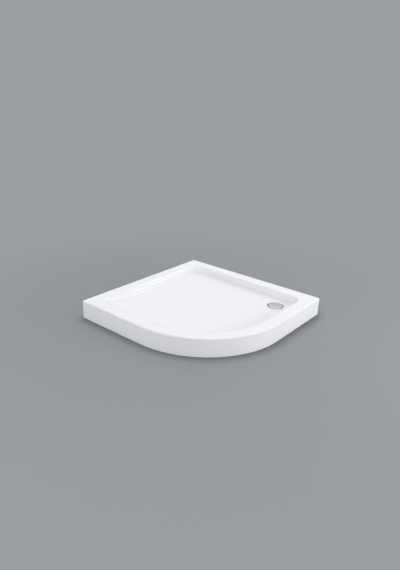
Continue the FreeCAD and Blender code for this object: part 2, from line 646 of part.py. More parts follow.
def make_waste():
    ring("waste_upper_seal", HOLE, f"{HOLE} + sizes.upper_seal_width", "0", "sizes.upper_seal")
    ring("waste_lower_seal", HOLE, f"{HOLE} + sizes.lower_seal_width", BODY_TOP, "-sizes.shell_wall")

    tail_end = "sizes.upper_seal - sizes.tail_length"
    revolve(waste_piece("waste_flange"), "flange_turned", [
        (THROAT, LEDGE_Z), (LEDGE, LEDGE_Z), (LEDGE, FLANGE_TOP),
        (f"{FLANGE} - sizes.flange_chamfer", FLANGE_TOP), (FLANGE, f"{FLANGE_TOP} - sizes.flange_chamfer"),
        (FLANGE, "sizes.upper_seal"), (TAIL, "sizes.upper_seal"), (TAIL, tail_end), (THROAT, tail_end)])

    collar = f"{TAIL} + sizes.tail_clear"
    outlet = "sizes.spigot_diameter / 2"
    outlet_end = f"sizes.outlet_gap - {SEAT_Z}"
    flange_under = f"{BODY_TOP} - sizes.body_flange_thick"
    shoulder_top = f"{SHOULDER_Z} + sizes.body_flange_thick"
    revolve(waste_piece("waste_body"), "body_turned", [
        (collar, BODY_TOP), (BODY_FLANGE, BODY_TOP), (BODY_FLANGE, flange_under),
        (f"{collar} + sizes.body_wall", flange_under), (f"{collar} + sizes.body_wall", SHOULDER_Z),
        (outlet, SHOULDER_Z), (outlet, outlet_end), (f"{outlet} - sizes.spigot_wall", outlet_end),
        (f"{outlet} - sizes.spigot_wall", shoulder_top), (collar, shoulder_top)])


def make_basket():
    body = waste_piece("strainer_basket")
    stem_bore = "sizes.stem_diameter / 2 + sizes.stem_clear"
    wall = f"{THROAT} - sizes.basket_clear"
    inside = f"{wall} - sizes.basket_wall"
    hub = "sizes.hub_diameter / 2"
    hub_end = f"{FLANGE_TOP} - sizes.hub_depth"
    lip = f"{NECK} + sizes.membrane_clear"
    lip_top = f"{BASKET_BOTTOM} + sizes.basket_lip"
    revolve(body, "basket_turned", [
        (stem_bore, FLANGE_TOP), (PLATE, FLANGE_TOP), (PLATE, LEDGE_Z), (wall, LEDGE_Z),
        (wall, BASKET_BOTTOM), (lip, BASKET_BOTTOM), (lip, lip_top), (inside, lip_top), (inside, LEDGE_Z),
        (hub, LEDGE_Z), (hub, hub_end), (stem_bore, hub_end)])
    for name, radius, count in (("inner", "sizes.inner_ring", "sizes.inner_holes"),
                                ("outer", "sizes.outer_ring", "sizes.outer_holes")):
        sketch = new_sketch(body, f"{name}_hole_circle", LEDGE_Z)
        add_circle(sketch, "hole", radius, "0", "sizes.strainer_hole / 2")
        hole = extrude(body, "Pocket", f"{name}_hole", sketch, "sizes.ledge_depth", True)
        polar(body, f"{name}_holes", hole, sketch, count)


def ellipse_sketch(body, name, height, wide, high):
    sketch = new_sketch(body, name, height)
    ellipse = Part.Ellipse(Vector(), number(wide), number(high))
    curve = sketch.addGeometry(ellipse)
    sketch.exposeInternalGeometry(curve)
    pin_point(sketch, "middle", curve, 3, "0", "0")
    major, minor = curve + 1, curve + 2
    bind_constraint(sketch, "across", Sketcher.Constraint("DistanceX", -1, 1, major, 1, number(wide)), wide)
    sketch.addConstraint(Sketcher.Constraint("PointOnObject", major, 1, -1))
    bind_constraint(sketch, "tall", Sketcher.Constraint("DistanceY", -1, 1, minor, 1, number(high)), high)
    return sketch


def make_membrane():
    """Soft two-lipped valve, held by its grooved neck in the bottom of the basket."""
    body = waste_piece("odour_membrane")
    collar = "sizes.membrane_collar / 2"
    inside = f"{NECK} - sizes.membrane_wall"
    lip_top = f"{BASKET_BOTTOM} + sizes.basket_lip"
    top = f"{lip_top} + sizes.membrane_wall"
    low = f"{BASKET_BOTTOM} - sizes.membrane_wall"
    revolve(body, "membrane_neck", [
        (inside, top), (collar, top), (collar, lip_top), (NECK, lip_top), (NECK, BASKET_BOTTOM),
        (collar, BASKET_BOTTOM), (collar, low), (inside, low)])
    slit = "sizes.bill_slit"
    bill_end = f"{low} - sizes.bill_length"
    for kind, skin in (("Additive", "sizes.membrane_wall"), ("Subtractive", "0")):
        start = new_sketch(body, f"{kind}_start", low)
        add_circle(start, "start", "0", "0", f"{inside} + {skin}")
        end = ellipse_sketch(body, f"{kind}_end", bill_end, f"{inside} + {skin}", f"{slit} + {skin}")
        bill = body.newObject(f"PartDesign::{kind}Loft", f"{kind}_bill")
        bill.Profile = start
        bill.Sections = [end]
        doc.recompute()


def make_cover():
    body = waste_piece("waste_cover")
    stem = "sizes.stem_diameter / 2"
    stem_end = f"{FLANGE_TOP} - sizes.hub_depth"
    edge = f"{FLANGE} - sizes.cover_step"
    revolve(body, "cover_turned", [
        ("0", COVER_TOP), (edge, f"{COVER_TOP} - sizes.cover_dome"), (edge, COVER_UNDER),
        (stem, COVER_UNDER), (stem, stem_end), ("0", stem_end)], domed=0)
    sketch = new_sketch(body, "rib_plan", FLANGE_TOP)
    side = "sizes.rib_width / 2"
    start = "sizes.hub_diameter / 2"
    end = f"{PLATE} - sizes.rib_margin"
    add_polygon(sketch, [(start, f"-{side}"), (end, f"-{side}"), (end, side), (start, side)])
    rib = extrude(body, "Pad", "rib", sketch, f"{COVER_UNDER} - {FLANGE_TOP}")
    polar(body, "ribs", rib, sketch, "sizes.rib_count")


def check_document():
    for obj in doc.Objects:
        if "Invalid" in obj.State or "Error" in obj.State:
            raise RuntimeError(f"{obj.Name} did not build: {obj.State}")
    for piece in sub_parts:
        shape = piece.Shape
        if shape.isNull() or not shape.isValid() or not shape.Solids:
            raise RuntimeError(f"{piece.Label} has no valid solid")


make_layers()
make_board()
make_feet()
make_waste()
make_basket()
make_membrane()
make_cover()
doc.recompute()
check_document()

os.makedirs("parts", exist_ok=True)
for piece in sub_parts:
    piece.Shape.exportStep(f"parts/{piece.Label}.step")
print(f"{len(sub_parts)} sub-parts, rim at {number(RIM_Z):.2f} mm, drain seat at {number(SEAT_Z):.2f} mm")
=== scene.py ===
import json
import math

import bmesh
import bpy
from mathutils import Matrix, Vector


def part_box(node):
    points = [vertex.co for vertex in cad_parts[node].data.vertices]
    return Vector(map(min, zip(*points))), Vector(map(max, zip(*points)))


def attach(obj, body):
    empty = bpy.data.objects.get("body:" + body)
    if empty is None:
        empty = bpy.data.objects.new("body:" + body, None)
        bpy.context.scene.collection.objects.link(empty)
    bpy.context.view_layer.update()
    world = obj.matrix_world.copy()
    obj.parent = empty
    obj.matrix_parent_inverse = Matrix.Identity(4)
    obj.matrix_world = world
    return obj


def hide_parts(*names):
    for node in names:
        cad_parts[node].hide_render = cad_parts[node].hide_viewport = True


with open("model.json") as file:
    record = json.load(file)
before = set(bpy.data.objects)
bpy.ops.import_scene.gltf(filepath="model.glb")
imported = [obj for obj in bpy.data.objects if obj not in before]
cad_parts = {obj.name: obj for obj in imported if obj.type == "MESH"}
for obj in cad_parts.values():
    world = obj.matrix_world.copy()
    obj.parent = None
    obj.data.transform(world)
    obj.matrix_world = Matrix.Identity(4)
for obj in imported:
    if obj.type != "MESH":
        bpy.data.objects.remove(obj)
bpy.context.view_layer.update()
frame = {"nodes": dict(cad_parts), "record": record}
nodes = frame["nodes"]
print("frame loaded:", len(nodes), "nodes")

mm = 0.001
footNames = [name[len("foot_pad_"):] for name in nodes if name.startswith("foot_pad_")]


# materials

def toLinear(hexColour):
    channels = [int(hexColour[i:i + 2], 16) / 255 for i in (1, 3, 5)]
    return [c / 12.92 if c <= 0.04045 else ((c + 0.055) / 1.055) ** 2.4 for c in channels] + [1.0]


def addNode(mat, kind, links=None, **settings):
    # settings go to the node, or to the socket of that name; links are socket: (node, output)
    node = mat.node_tree.nodes.new(kind)
    for name, value in settings.items():
        if hasattr(node, name):
            setattr(node, name, value)
        else:
            node.inputs[name.replace("_", " ")].default_value = value
    for name, (source, output) in (links or {}).items():
        mat.node_tree.links.new(source.outputs[output], node.inputs[name])
    return node


def newMaterial(name):
    mat = bpy.data.materials.new(name)
    mat.use_nodes = True
    mat.node_tree.nodes.clear()
    return mat


def finishMaterial(mat, shader):
    addNode(mat, "ShaderNodeOutputMaterial", {"Surface": (shader, 0)})
    return mat


def castAcrylic():
    # cast acrylic sheet drawn over a former: deep even gloss, with a faint slow ripple left by the forming
    look = {"white": "#F5F6F8", "shade": "#F0F1F4", "cloudMm": 240, "rippleMm": 90, "rippleHighMm": 0.03}
    mat = newMaterial("castAcrylicWhite")
    place = addNode(mat, "ShaderNodeTexCoord")
    cloud = addNode(mat, "ShaderNodeTexNoise", {"Vector": (place, "Object")},
                    Scale=1 / (look["cloudMm"] * mm), Detail=2.0)
    tint = addNode(mat, "ShaderNodeMixRGB", {"Fac": (cloud, "Fac")},
                   Color1=toLinear(look["white"]), Color2=toLinear(look["shade"]))
    ripple = addNode(mat, "ShaderNodeTexNoise", {"Vector": (place, "Object")},
                     Scale=1 / (look["rippleMm"] * mm), Detail=0.0)
    bump = addNode(mat, "ShaderNodeBump", {"Height": (ripple, "Fac")},
                   Strength=1.0, Distance=look["rippleHighMm"] * mm)
    gloss = addNode(mat, "ShaderNodeMapRange", {"Value": (cloud, "Fac")}, To_Min=0.07, To_Max=0.12)
    shader = addNode(mat, "ShaderNodeBsdfPrincipled",
                     {"Base Color": (tint, 0), "Roughness": (gloss, 0), "Normal": (bump, 0)}, IOR=1.49)
    return finishMaterial(mat, shader)


def choppedStrandGlass():
    # chopped glass strands rolled into polyester resin: pale hairs lying at random in a greenish-yellow cast
    look = {"resin": "#A9A47E", "strand": "#D3CFB6", "strandMm": 34, "widthMm": 1.8,
            "turns": (0.3, 1.25, 2.3), "dip": 0.4}
    mat = newMaterial("choppedStrandGlassResin")
    place = addNode(mat, "ShaderNodeTexCoord")
    along, across = 1 / (look["strandMm"] * mm), 1 / (look["widthMm"] * mm)
    hairs = None
    for turn in look["turns"]:
        lay = addNode(mat, "ShaderNodeMapping", {"Vector": (place, "Object")},
                      Rotation=(turn, look["dip"] * turn, turn), Scale=(along, across, across))
        noise = addNode(mat, "ShaderNodeTexNoise", {"Vector": (lay, 0)}, Scale=1.0, Detail=1.0)
        layer = addNode(mat, "ShaderNodeMapRange", {"Value": (noise, "Fac")}, From_Min=0.52, From_Max=0.68)
        if hairs:
            hairs = addNode(mat, "ShaderNodeMath", {0: (hairs, 0), 1: (layer, 0)}, operation="MAXIMUM")
        else:
            hairs = layer
    tint = addNode(mat, "ShaderNodeMixRGB", {"Fac": (hairs, 0)},
                   Color1=toLinear(look["resin"]), Color2=toLinear(look["strand"]))
    rough = addNode(mat, "ShaderNodeMapRange", {"Value": (hairs, 0)}, To_Min=0.3, To_Max=0.55)
    bump = addNode(mat, "ShaderNodeBump", {"Height": (hairs, 0)}, Strength=0.7, Distance=0.5 * mm)
    shader = addNode(mat, "ShaderNodeBsdfPrincipled",
                     {"Base Color": (tint, 0), "Roughness": (rough, 0), "Normal": (bump, 0)}, IOR=1.55)
    return finishMaterial(mat, shader)


def pouredFoam():
    # polyurethane foam poured between tray and board: open cells, with patches of paler skin
    # real cells are about 1 mm; they are drawn larger so that they show
    look = {"foam": "#C9AE6C", "skin": "#E0CC97", "cellMm": 3.0, "patchMm": 45}
    mat = newMaterial("pouredPolyurethaneFoam")
    place = addNode(mat, "ShaderNodeTexCoord")
    cells = addNode(mat, "ShaderNodeTexVoronoi", {"Vector": (place, "Object")},
                    Scale=1 / (look["cellMm"] * mm))
    patch = addNode(mat, "ShaderNodeTexNoise", {"Vector": (place, "Object")},
                    Scale=1 / (look["patchMm"] * mm), Detail=4.0)
    mixed = addNode(mat, "ShaderNodeMath", {0: (patch, "Fac"), 1: (cells, "Distance")}, operation="SUBTRACT")
    amount = addNode(mat, "ShaderNodeMapRange", {"Value": (mixed, 0)}, From_Min=-0.3, From_Max=0.5)
    tint = addNode(mat, "ShaderNodeMixRGB", {"Fac": (amount, 0)},
                   Color1=toLinear(look["foam"]), Color2=toLinear(look["skin"]))
    rough = addNode(mat, "ShaderNodeMapRange", {"Value": (patch, "Fac")}, To_Min=0.95, To_Max=0.75)
    bump = addNode(mat, "ShaderNodeBump", {"Height": (cells, "Distance")}, Strength=0.8, Distance=1.0 * mm)
    shader = addNode(mat, "ShaderNodeBsdfPrincipled",
                     {"Base Color": (tint, 0), "Roughness": (rough, 0), "Normal": (bump, 0)})
    return finishMaterial(mat, shader)


def chipboard():
    # pressed wood flakes with a little green dye for wet rooms: mixed straw and brown chips lying flat
    look = {"straw": "#C3A06A", "brown": "#86633B", "dyed": "#8C935C", "flakeMm": 7.0, "thickMm": 1.6}
    mat = newMaterial("wetRoomChipboard")
    place = addNode(mat, "ShaderNodeTexCoord")
    flat, upright = 1 / (look["flakeMm"] * mm), 1 / (look["thickMm"] * mm)
    lay = addNode(mat, "ShaderNodeMapping", {"Vector": (place, "Object")}, Scale=(flat, flat, upright))
    bend = addNode(mat, "ShaderNodeTexNoise", {"Vector": (lay, 0)}, Scale=1.2, Detail=2.0)
    drift = addNode(mat, "ShaderNodeVectorMath", {0: (lay, 0), 1: (bend, "Color")}, operation="ADD")
    flake = addNode(mat, "ShaderNodeTexVoronoi", {"Vector": (drift, 0)}, Scale=1.0)
    parts = addNode(mat, "ShaderNodeSeparateColor", {"Color": (flake, "Color")})
    wood = addNode(mat, "ShaderNodeMixRGB", {"Fac": (parts, "Red")},
                   Color1=toLinear(look["straw"]), Color2=toLinear(look["brown"]))
    dye = addNode(mat, "ShaderNodeMapRange", {"Value": (parts, "Green")},
                  From_Min=0.86, From_Max=0.9, To_Max=0.7)
    tint = addNode(mat, "ShaderNodeMixRGB", {"Fac": (dye, 0), "Color1": (wood, 0)},
                   Color2=toLinear(look["dyed"]))
    rough = addNode(mat, "ShaderNodeMapRange", {"Value": (parts, "Blue")}, To_Min=0.6, To_Max=0.85)
    bump = addNode(mat, "ShaderNodeBump", {"Height": (parts, "Red")}, Strength=0.4, Distance=0.3 * mm)
    shader = addNode(mat, "ShaderNodeBsdfPrincipled",
                     {"Base Color": (tint, 0), "Roughness": (rough, 0), "Normal": (bump, 0)})
    return finishMaterial(mat, shader)


def filledNylon():
    # nylon with glass filler, moulded in a spark-eroded tool: near black, with a fine dull grain
    # real grain is about 0.2 mm; it is drawn larger so that it shows
    look = {"black": "#191A1C", "worn": "#2B2C2F", "grainMm": 1.2, "flowMm": 18}
    mat = newMaterial("glassFilledNylonBlack")
    place = addNode(mat, "ShaderNodeTexCoord")
    grain = addNode(mat, "ShaderNodeTexNoise", {"Vector": (place, "Object")},
                    Scale=1 / (look["grainMm"] * mm), Detail=3.0)
    flow = addNode(mat, "ShaderNodeTexNoise", {"Vector": (place, "Object")},
                   Scale=1 / (look["flowMm"] * mm), Detail=2.0)
    tint = addNode(mat, "ShaderNodeMixRGB", {"Fac": (flow, "Fac")},
                   Color1=toLinear(look["black"]), Color2=toLinear(look["worn"]))
    rough = addNode(mat, "ShaderNodeMapRange", {"Value": (grain, "Fac")}, To_Min=0.42, To_Max=0.62)
    bump = addNode(mat, "ShaderNodeBump", {"Height": (grain, "Fac")}, Strength=0.35, Distance=0.15 * mm)
    shader = addNode(mat, "ShaderNodeBsdfPrincipled",
                     {"Base Color": (tint, 0), "Roughness": (rough, 0), "Normal": (bump, 0)}, IOR=1.53)
    return finishMaterial(mat, shader)


def zincPlate():
    # bright zinc plate on steel, passivated: cool grey with faint straw patches, softly blurred reflections
    look = {"zinc": "#C3C8CE", "straw": "#CBC7B4", "patchMm": 14, "pittingMm": 0.8}
    mat = newMaterial("zincPlatedSteel")
    place = addNode(mat, "ShaderNodeTexCoord")
    patch = addNode(mat, "ShaderNodeTexNoise", {"Vector": (place, "Object")},
                    Scale=1 / (look["patchMm"] * mm), Detail=3.0)
    pitting = addNode(mat, "ShaderNodeTexNoise", {"Vector": (place, "Object")},
                      Scale=1 / (look["pittingMm"] * mm), Detail=2.0)
    amount = addNode(mat, "ShaderNodeMapRange", {"Value": (patch, "Fac")}, From_Min=0.45, From_Max=0.7)
    tint = addNode(mat, "ShaderNodeMixRGB", {"Fac": (amount, 0)},
                   Color1=toLinear(look["zinc"]), Color2=toLinear(look["straw"]))
    rough = addNode(mat, "ShaderNodeMapRange", {"Value": (pitting, "Fac")}, To_Min=0.24, To_Max=0.42)
    bump = addNode(mat, "ShaderNodeBump", {"Height": (pitting, "Fac")}, Strength=0.15, Distance=0.05 * mm)
    shader = addNode(mat, "ShaderNodeBsdfPrincipled",
                     {"Base Color": (tint, 0), "Roughness": (rough, 0), "Normal": (bump, 0)}, Metallic=1.0)
    return finishMaterial(mat, shader)


def sealRubber():
    # moulded EPDM rubber: black, dull, with a bloom of grey dust
    look = {"black": "#161718", "bloom": "#2E3032", "bloomMm": 9}
    mat = newMaterial("mouldedEpdmRubber")
    place = addNode(mat, "ShaderNodeTexCoord")
    bloom = addNode(mat, "ShaderNodeTexNoise", {"Vector": (place, "Object")},
                    Scale=1 / (look["bloomMm"] * mm), Detail=5.0)
    tint = addNode(mat, "ShaderNodeMixRGB", {"Fac": (bloom, "Fac")},
                   Color1=toLinear(look["black"]), Color2=toLinear(look["bloom"]))
    rough = addNode(mat, "ShaderNodeMapRange", {"Value": (bloom, "Fac")}, To_Min=0.55, To_Max=0.8)
    shader = addNode(mat, "ShaderNodeBsdfPrincipled",
                     {"Base Color": (tint, 0), "Roughness": (rough, 0)}, IOR=1.52)
    return finishMaterial(mat, shader)


def clearSilicone():
    # moulded silicone: milky and half clear, a soft skin sheen
    look = {"clear": "#E4ECEF", "milk": "#D3DCE0", "cloudMm": 6}
    mat = newMaterial("mouldedSiliconeClear")
    place = addNode(mat, "ShaderNodeTexCoord")
    cloud = addNode(mat, "ShaderNodeTexNoise", {"Vector": (place, "Object")},
                    Scale=1 / (look["cloudMm"] * mm), Detail=3.0)
    tint = addNode(mat, "ShaderNodeMixRGB", {"Fac": (cloud, "Fac")},
                   Color1=toLinear(look["clear"]), Color2=toLinear(look["milk"]))
    rough = addNode(mat, "ShaderNodeMapRange", {"Value": (cloud, "Fac")}, To_Min=0.28, To_Max=0.45)
    shader = addNode(mat, "ShaderNodeBsdfPrincipled", {"Base Color": (tint, 0), "Roughness": (rough, 0)},
                     IOR=1.41, Transmission_Weight=0.55)
    return finishMaterial(mat, shader)


def mouldedPolypropylene():
    # injection-moulded polypropylene: slightly waxy white with faint flow marks
    look = {"white": "#ECEDEB", "wax": "#E1E3E1", "flowMm": 22, "grainMm": 1.0}
    mat = newMaterial("mouldedPolypropyleneWhite")
    place = addNode(mat, "ShaderNodeTexCoord")
    flow = addNode(mat, "ShaderNodeTexNoise", {"Vector": (place, "Object")},
                   Scale=1 / (look["flowMm"] * mm), Detail=2.0, Distortion=1.5)
    grain = addNode(mat, "ShaderNodeTexNoise", {"Vector": (place, "Object")},
                    Scale=1 / (look["grainMm"] * mm), Detail=2.0)
    tint = addNode(mat, "ShaderNodeMixRGB", {"Fac": (flow, "Fac")},
                   Color1=toLinear(look["white"]), Color2=toLinear(look["wax"]))
    rough = addNode(mat, "ShaderNodeMapRange", {"Value": (flow, "Fac")}, To_Min=0.32, To_Max=0.48)
    bump = addNode(mat, "ShaderNodeBump", {"Height": (grain, "Fac")}, Strength=0.1, Distance=0.08 * mm)
    shader = addNode(mat, "ShaderNodeBsdfPrincipled",
                     {"Base Color": (tint, 0), "Roughness": (rough, 0), "Normal": (bump, 0)}, IOR=1.49)
    return finishMaterial(mat, shader)


def satinChrome(axis):
    # chrome plate over a turned and brushed disc: fine rings about the drain axis under a cool blurred shine
    # real brushing is about 0.1 mm; it is drawn larger so that it shows
    look = {"chrome": "#B1B4B9", "groove": "#A5A8AE", "ringMm": 1.1, "smearMm": 30}
    mat = newMaterial("satinChromePlate")
    place = addNode(mat, "ShaderNodeTexCoord")
    middle = addNode(mat, "ShaderNodeVectorMath", {0: (place, "Object")}, operation="SUBTRACT")
    middle.inputs[1].default_value = (axis.x, axis.y, 0)
    level = addNode(mat, "ShaderNodeVectorMath", {0: (middle, 0)}, operation="MULTIPLY")
    level.inputs[1].default_value = (1, 1, 0)
    radius = addNode(mat, "ShaderNodeVectorMath", {0: (level, 0)}, operation="LENGTH")
    rings = addNode(mat, "ShaderNodeTexNoise", {"W": (radius, "Value")}, noise_dimensions="1D",
                    Scale=1 / (look["ringMm"] * mm), Detail=3.0)
    smear = addNode(mat, "ShaderNodeTexNoise", {"Vector": (place, "Object")},
                    Scale=1 / (look["smearMm"] * mm), Detail=2.0)
    tint = addNode(mat, "ShaderNodeMixRGB", {"Fac": (rings, "Fac")},
                   Color1=toLinear(look["chrome"]), Color2=toLinear(look["groove"]))
    rough = addNode(mat, "ShaderNodeMapRange", {"Value": (smear, "Fac")}, To_Min=0.34, To_Max=0.44)
    bump = addNode(mat, "ShaderNodeBump", {"Height": (rings, "Fac")}, Strength=0.1, Distance=0.03 * mm)
    shader = addNode(mat, "ShaderNodeBsdfPrincipled",
                     {"Base Color": (tint, 0), "Roughness": (rough, 0), "Normal": (bump, 0)}, Metallic=1.0)
    return finishMaterial(mat, shader)


coverLow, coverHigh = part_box("waste_cover")
drainAxis = (coverLow + coverHigh) / 2
finishes = {
    "white_acrylic": castAcrylic(),
    "glass_fibre": choppedStrandGlass(),
    "rigid_foam": pouredFoam(),
    "chipboard": chipboard(),
    "black_nylon": filledNylon(),
    "zinc_steel": zincPlate(),
    "seal_rubber": sealRubber(),
    "clear_silicone": clearSilicone(),
    "white_polypropylene": mouldedPolypropylene(),
    "satin_chrome": satinChrome(drainAxis),
}
for subpart in frame["record"]["subparts"]:
    node = nodes[subpart["node"]]
    node.data.materials.clear()
    node.data.materials.append(finishes[subpart["material_slot"]])
print("materials:", len(finishes))


# pieces, as rows of points joined by faces

def addRow(bm, points):
    return [bm.verts.new(Vector(point) * mm) for point in points]


def joinRows(bm, rows, closed=True):
    for low, high in zip(rows, rows[1:]):
        for i in range(len(low) if closed else len(low) - 1):
            j = (i + 1) % len(low)
            bm.faces.new((low[i], low[j], high[j], high[i]))


def ringEdges(bm, row):
    return [bm.edges.get((a, b)) for a, b in zip(row, row[1:] + row[:1])]


def turnedRows(bm, profile, axis, steps):
    # profile holds (radius, height) pairs in mm
    turns = [2 * math.pi * i / steps for i in range(steps)]
    return [addRow(bm, [(axis.x + r * math.cos(a), axis.y + r * math.sin(a), z) for a in turns])
            for r, z in profile]


def finishPiece(bm, name, slot, body, replaced, creaseDegrees=32):
    bmesh.ops.recalc_face_normals(bm, faces=bm.faces)
    for face in bm.faces:
        face.smooth = True
    for edge in bm.edges:
        edge.smooth = len(edge.link_faces) == 2 and edge.calc_face_angle() < math.radians(creaseDegrees)
    mesh = bpy.data.meshes.new(name)
    bm.to_mesh(mesh)
    bm.free()
    piece = bpy.data.objects.new(name, mesh)
    bpy.context.scene.collection.objects.link(piece)
    mesh.materials.append(finishes[slot])
    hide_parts(replaced)
    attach(piece, body)


# tray shell: one sheet with a top and an underside, both worked out from the same section

# lengths in mm, angles in degrees
tray = {"frontRadius": 470, "cornerRadius": 8, "edgeRadius": 5, "rimWidth": 75, "rollRadius": 17,
        "basinDepth": 33, "wallLean": 16, "basinCorner": 50, "sweepRadius": 14, "floorFall": 0.5,
        "recessRadius": 45, "recessEdge": 2, "holeRadius": 33, "sheet": 4, "lip": 45, "wallReturn": 40,
        "leastRound": 0.5, "support": 0.8, "match": 0.01, "footPasses": 4, "bowSteps": 80,
        "cornerSteps": 12, "runSteps": 12, "edgeSteps": 8, "rollSteps": 14, "sweepSteps": 12,
        "recessSteps": 4, "circleSteps": 96}
shellLow, shellHigh = (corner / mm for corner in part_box("tray_shell"))
half = shellHigh.x
lean = math.radians(tray["wallLean"])
# what a fillet of radius one takes up on the level beside the wall
leanRun = math.tan(math.pi / 4 - lean / 2)
drainMm = drainAxis / mm


def planStations(family):
    # anchor, outward direction and radius for each point round the plan; family is corner radius plus inset
    k = half - family
    heart = (half - tray["frontRadius"], tray["frontRadius"] - half)
    corner, bow = (family, tray["cornerSteps"]), (tray["frontRadius"], tray["bowSteps"])
    # a run starts where the arc before it ends; the first and last stops are where the wall returns end
    stop = (tray["wallReturn"] - tray["cornerRadius"]) / (2 * (half - tray["cornerRadius"]))
    stops = [stop] + [i / tray["runSteps"] for i in range(1, tray["runSteps"])] + [1 - stop]
    arcs = [((-k, k), 90, *corner), ((-k, -k), 180, *corner), (heart, 270, *bow), ((k, k), 0, *corner)]
    ends = [((k, k), (-k, k)), ((-k, k), (-k, -k)), ((-k, -k), (heart[0], -k)), ((k, heart[1]), (k, k))]
    stations = []
    for ((startX, startY), (endX, endY)), (centre, begin, radius, steps) in zip(ends, arcs):
        facing = math.radians(begin)
        for part in stops:
            anchor = Vector((startX + part * (endX - startX), startY + part * (endY - startY)))
            stations.append((anchor, Vector((math.cos(facing), math.sin(facing))), family))
        for i in range(steps + 1):
            facing = math.radians(begin + 90 * i / steps)
            stations.append((Vector(centre), Vector((math.cos(facing), math.sin(facing))), radius))
    return stations


def floorHeight(point, skin):
    fall = math.radians(tray["floorFall"])
    drop = math.tan(fall) * (point.x + point.y) / math.sqrt(2) + skin / math.cos(fall)
    return shellHigh.z - tray["basinDepth"] - drop


def shellSkin(bm, skin):
    # rows from the trimmed edge over the rim into the basin and down the drain recess
    top = shellHigh.z - skin
    outer = planStations(tray["cornerRadius"])
    inner = planStations(tray["rimWidth"] + tray["basinCorner"])
    edge = max(tray["edgeRadius"] - skin, tray["leastRound"])
    roll = tray["rollRadius"] - skin
    sweep = tray["sweepRadius"] + skin
    mouth = tray["rimWidth"] - skin * (1 - math.sin(lean)) / math.cos(lean)

    def ring(stations, inset, z):
        return addRow(bm, [(*(anchor + facing * (radius - inset)), z)
                           for anchor, facing, radius in stations])

    rows = [ring(outer, skin, shellHigh.z - tray["lip"]),
            ring(outer, skin, top - edge - tray["support"])]
    for i in range(tray["edgeSteps"] + 1):
        tilt = math.pi / 2 * (1 - i / tray["edgeSteps"])
        rows.append(ring(outer, skin + edge * (1 - math.sin(tilt)), top - edge * (1 - math.cos(tilt))))
    rows.append(ring(outer, skin + edge + tray["support"], top))
    rollStart = mouth - roll * leanRun
    rows.append(ring(inner, rollStart - tray["support"], top))
    for i in range(tray["rollSteps"] + 1):
        tilt = (math.pi / 2 - lean) * i / tray["rollSteps"]
        rows.append(ring(inner, rollStart + roll * math.sin(tilt), top - roll * (1 - math.cos(tilt))))

    # the floor slopes, so the foot of the wall is worked out at each station
    feet = []
    for anchor, facing, radius in inner:
        flat = mouth
        for _ in range(tray["footPasses"]):
            level = floorHeight(anchor + facing * (radius - flat), skin)
            flat = mouth + (top - level) * math.tan(lean) + sweep * leanRun
        feet.append((flat, level))
    for i in range(tray["sweepSteps"] + 1):
        tilt = (math.pi / 2 - lean) * (1 - i / tray["sweepSteps"])
        rows.append(addRow(bm, [(*(anchor + facing * (radius - flat + sweep * math.sin(tilt))),
                                 level + sweep * (1 - math.cos(tilt)))
                                for (anchor, facing, radius), (flat, level) in zip(inner, feet)]))
    inside = [anchor + facing * (radius - flat - tray["support"])
              for (anchor, facing, radius), (flat, _) in zip(inner, feet)]
    rows.append(addRow(bm, [(*point, floorHeight(point, skin)) for point in inside]))
    joinRows(bm, rows)
    return rows


def drainRecess(bm, skin):
    # rows from the basin floor down the recess wall and in over the seat to the hole
    wall = tray["recessRadius"] + skin
    mouthRound = max(tray["recessEdge"] - skin, 0)
    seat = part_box("waste_upper_seal")[0].z / mm - skin
    turns = [2 * math.pi * i / tray["circleSteps"] for i in range(tray["circleSteps"])]

    def circle(radius, drop=None):
        points = [drainMm.xy + radius * Vector((math.cos(a), math.sin(a))) for a in turns]
        return addRow(bm, [(*p, seat if drop is None else floorHeight(p, skin) - drop) for p in points])

    rows = [circle(wall + mouthRound + tray["support"], 0)]
    for i in range(tray["recessSteps"] + 1 if mouthRound else 1):
        tilt = math.pi / 2 * i / tray["recessSteps"]
        rows.append(circle(wall + mouthRound * (1 - math.sin(tilt)), mouthRound * (1 - math.cos(tilt))))
    rows += [circle(wall), circle(tray["holeRadius"])]
    joinRows(bm, rows)
    return rows


def makeTrayShell():
    bm = bmesh.new()
    skins = []
    for skin in (0, tray["sheet"]):
        rows = shellSkin(bm, skin)
        recess = drainRecess(bm, skin)
        floorEdges = ringEdges(bm, rows[-1]) + ringEdges(bm, recess[0])
        bmesh.ops.triangle_fill(bm, edges=floorEdges, use_beauty=True)
        skins.append((rows[0], recess[-1]))
    (topEdge, topHole), (underEdge, underHole) = skins
    joinRows(bm, [topHole, underHole])

    # below the lip the skirt runs on round the front only, between the two wall returns
    skirtEnd = tray["wallReturn"] - half
    count = len(topEdge)
    first = next(i for i in range(count)
                 if abs(topEdge[i].co.y / mm - skirtEnd) < tray["match"] and topEdge[i].co.x < 0)
    front = list(range(first, count)) + [0]
    trimmed = list(range(0, first + 1))
    hems = []
    for edge in (topEdge, underEdge):
        hem = [bm.verts.new((edge[i].co.x, edge[i].co.y, shellLow.z * mm)) for i in front]
        joinRows(bm, [[edge[i] for i in front], hem], closed=False)
        hems.append(hem)
    joinRows(bm, hems, closed=False)
    joinRows(bm, [[topEdge[i] for i in trimmed], [underEdge[i] for i in trimmed]], closed=False)
    for i, end in ((first, 0), (0, -1)):
        bm.faces.new((topEdge[i], underEdge[i], hems[1][end], hems[0][end]))
    print("tray shell:", len(bm.verts), "points")
    finishPiece(bm, "trayShellSheet", "white_acrylic", "tray", "tray_shell")


makeTrayShell()


# waste cover: a low dome with a turned edge, a stem and three ribs that stand on the strainer

